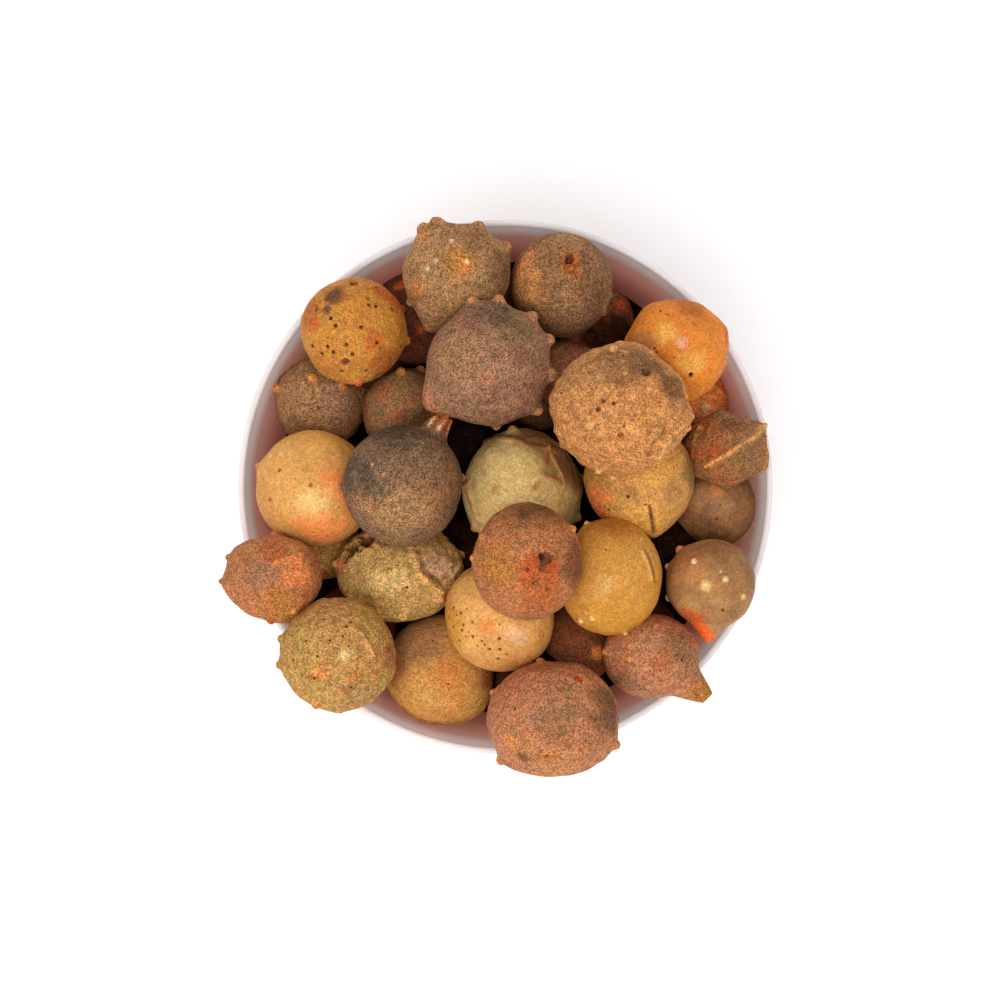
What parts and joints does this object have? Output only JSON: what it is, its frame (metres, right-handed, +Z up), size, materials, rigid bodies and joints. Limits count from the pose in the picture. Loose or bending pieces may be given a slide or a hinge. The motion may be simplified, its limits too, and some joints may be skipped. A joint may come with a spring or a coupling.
{
  "type": "bowl of oak galls",
  "caption": "Small round white glazed bowl on a plain foot, heaped above its rim with dried round oak galls.",
  "frame": {"origin": "centre of the foot's flat underside, on the surface that the bowl stands on", "axes": "+Z up, the bowl's own axis; +X to the right and +Y to the top of the picture, which looks straight down"},
  "size_m": [0.0982, 0.0999, 0.0725],
  "materials": {
    "white_glaze": "glossy white glaze, faintly pink",
    "gall_skin": "dry, matt, fine-grained gall skin, from slate and plum to olive, ochre, straw and orange"
  },
  "bodies": {
    "root": {"bowl": "white_glaze", "gall_heap": "gall_skin"}
  },
  "joints": []
}
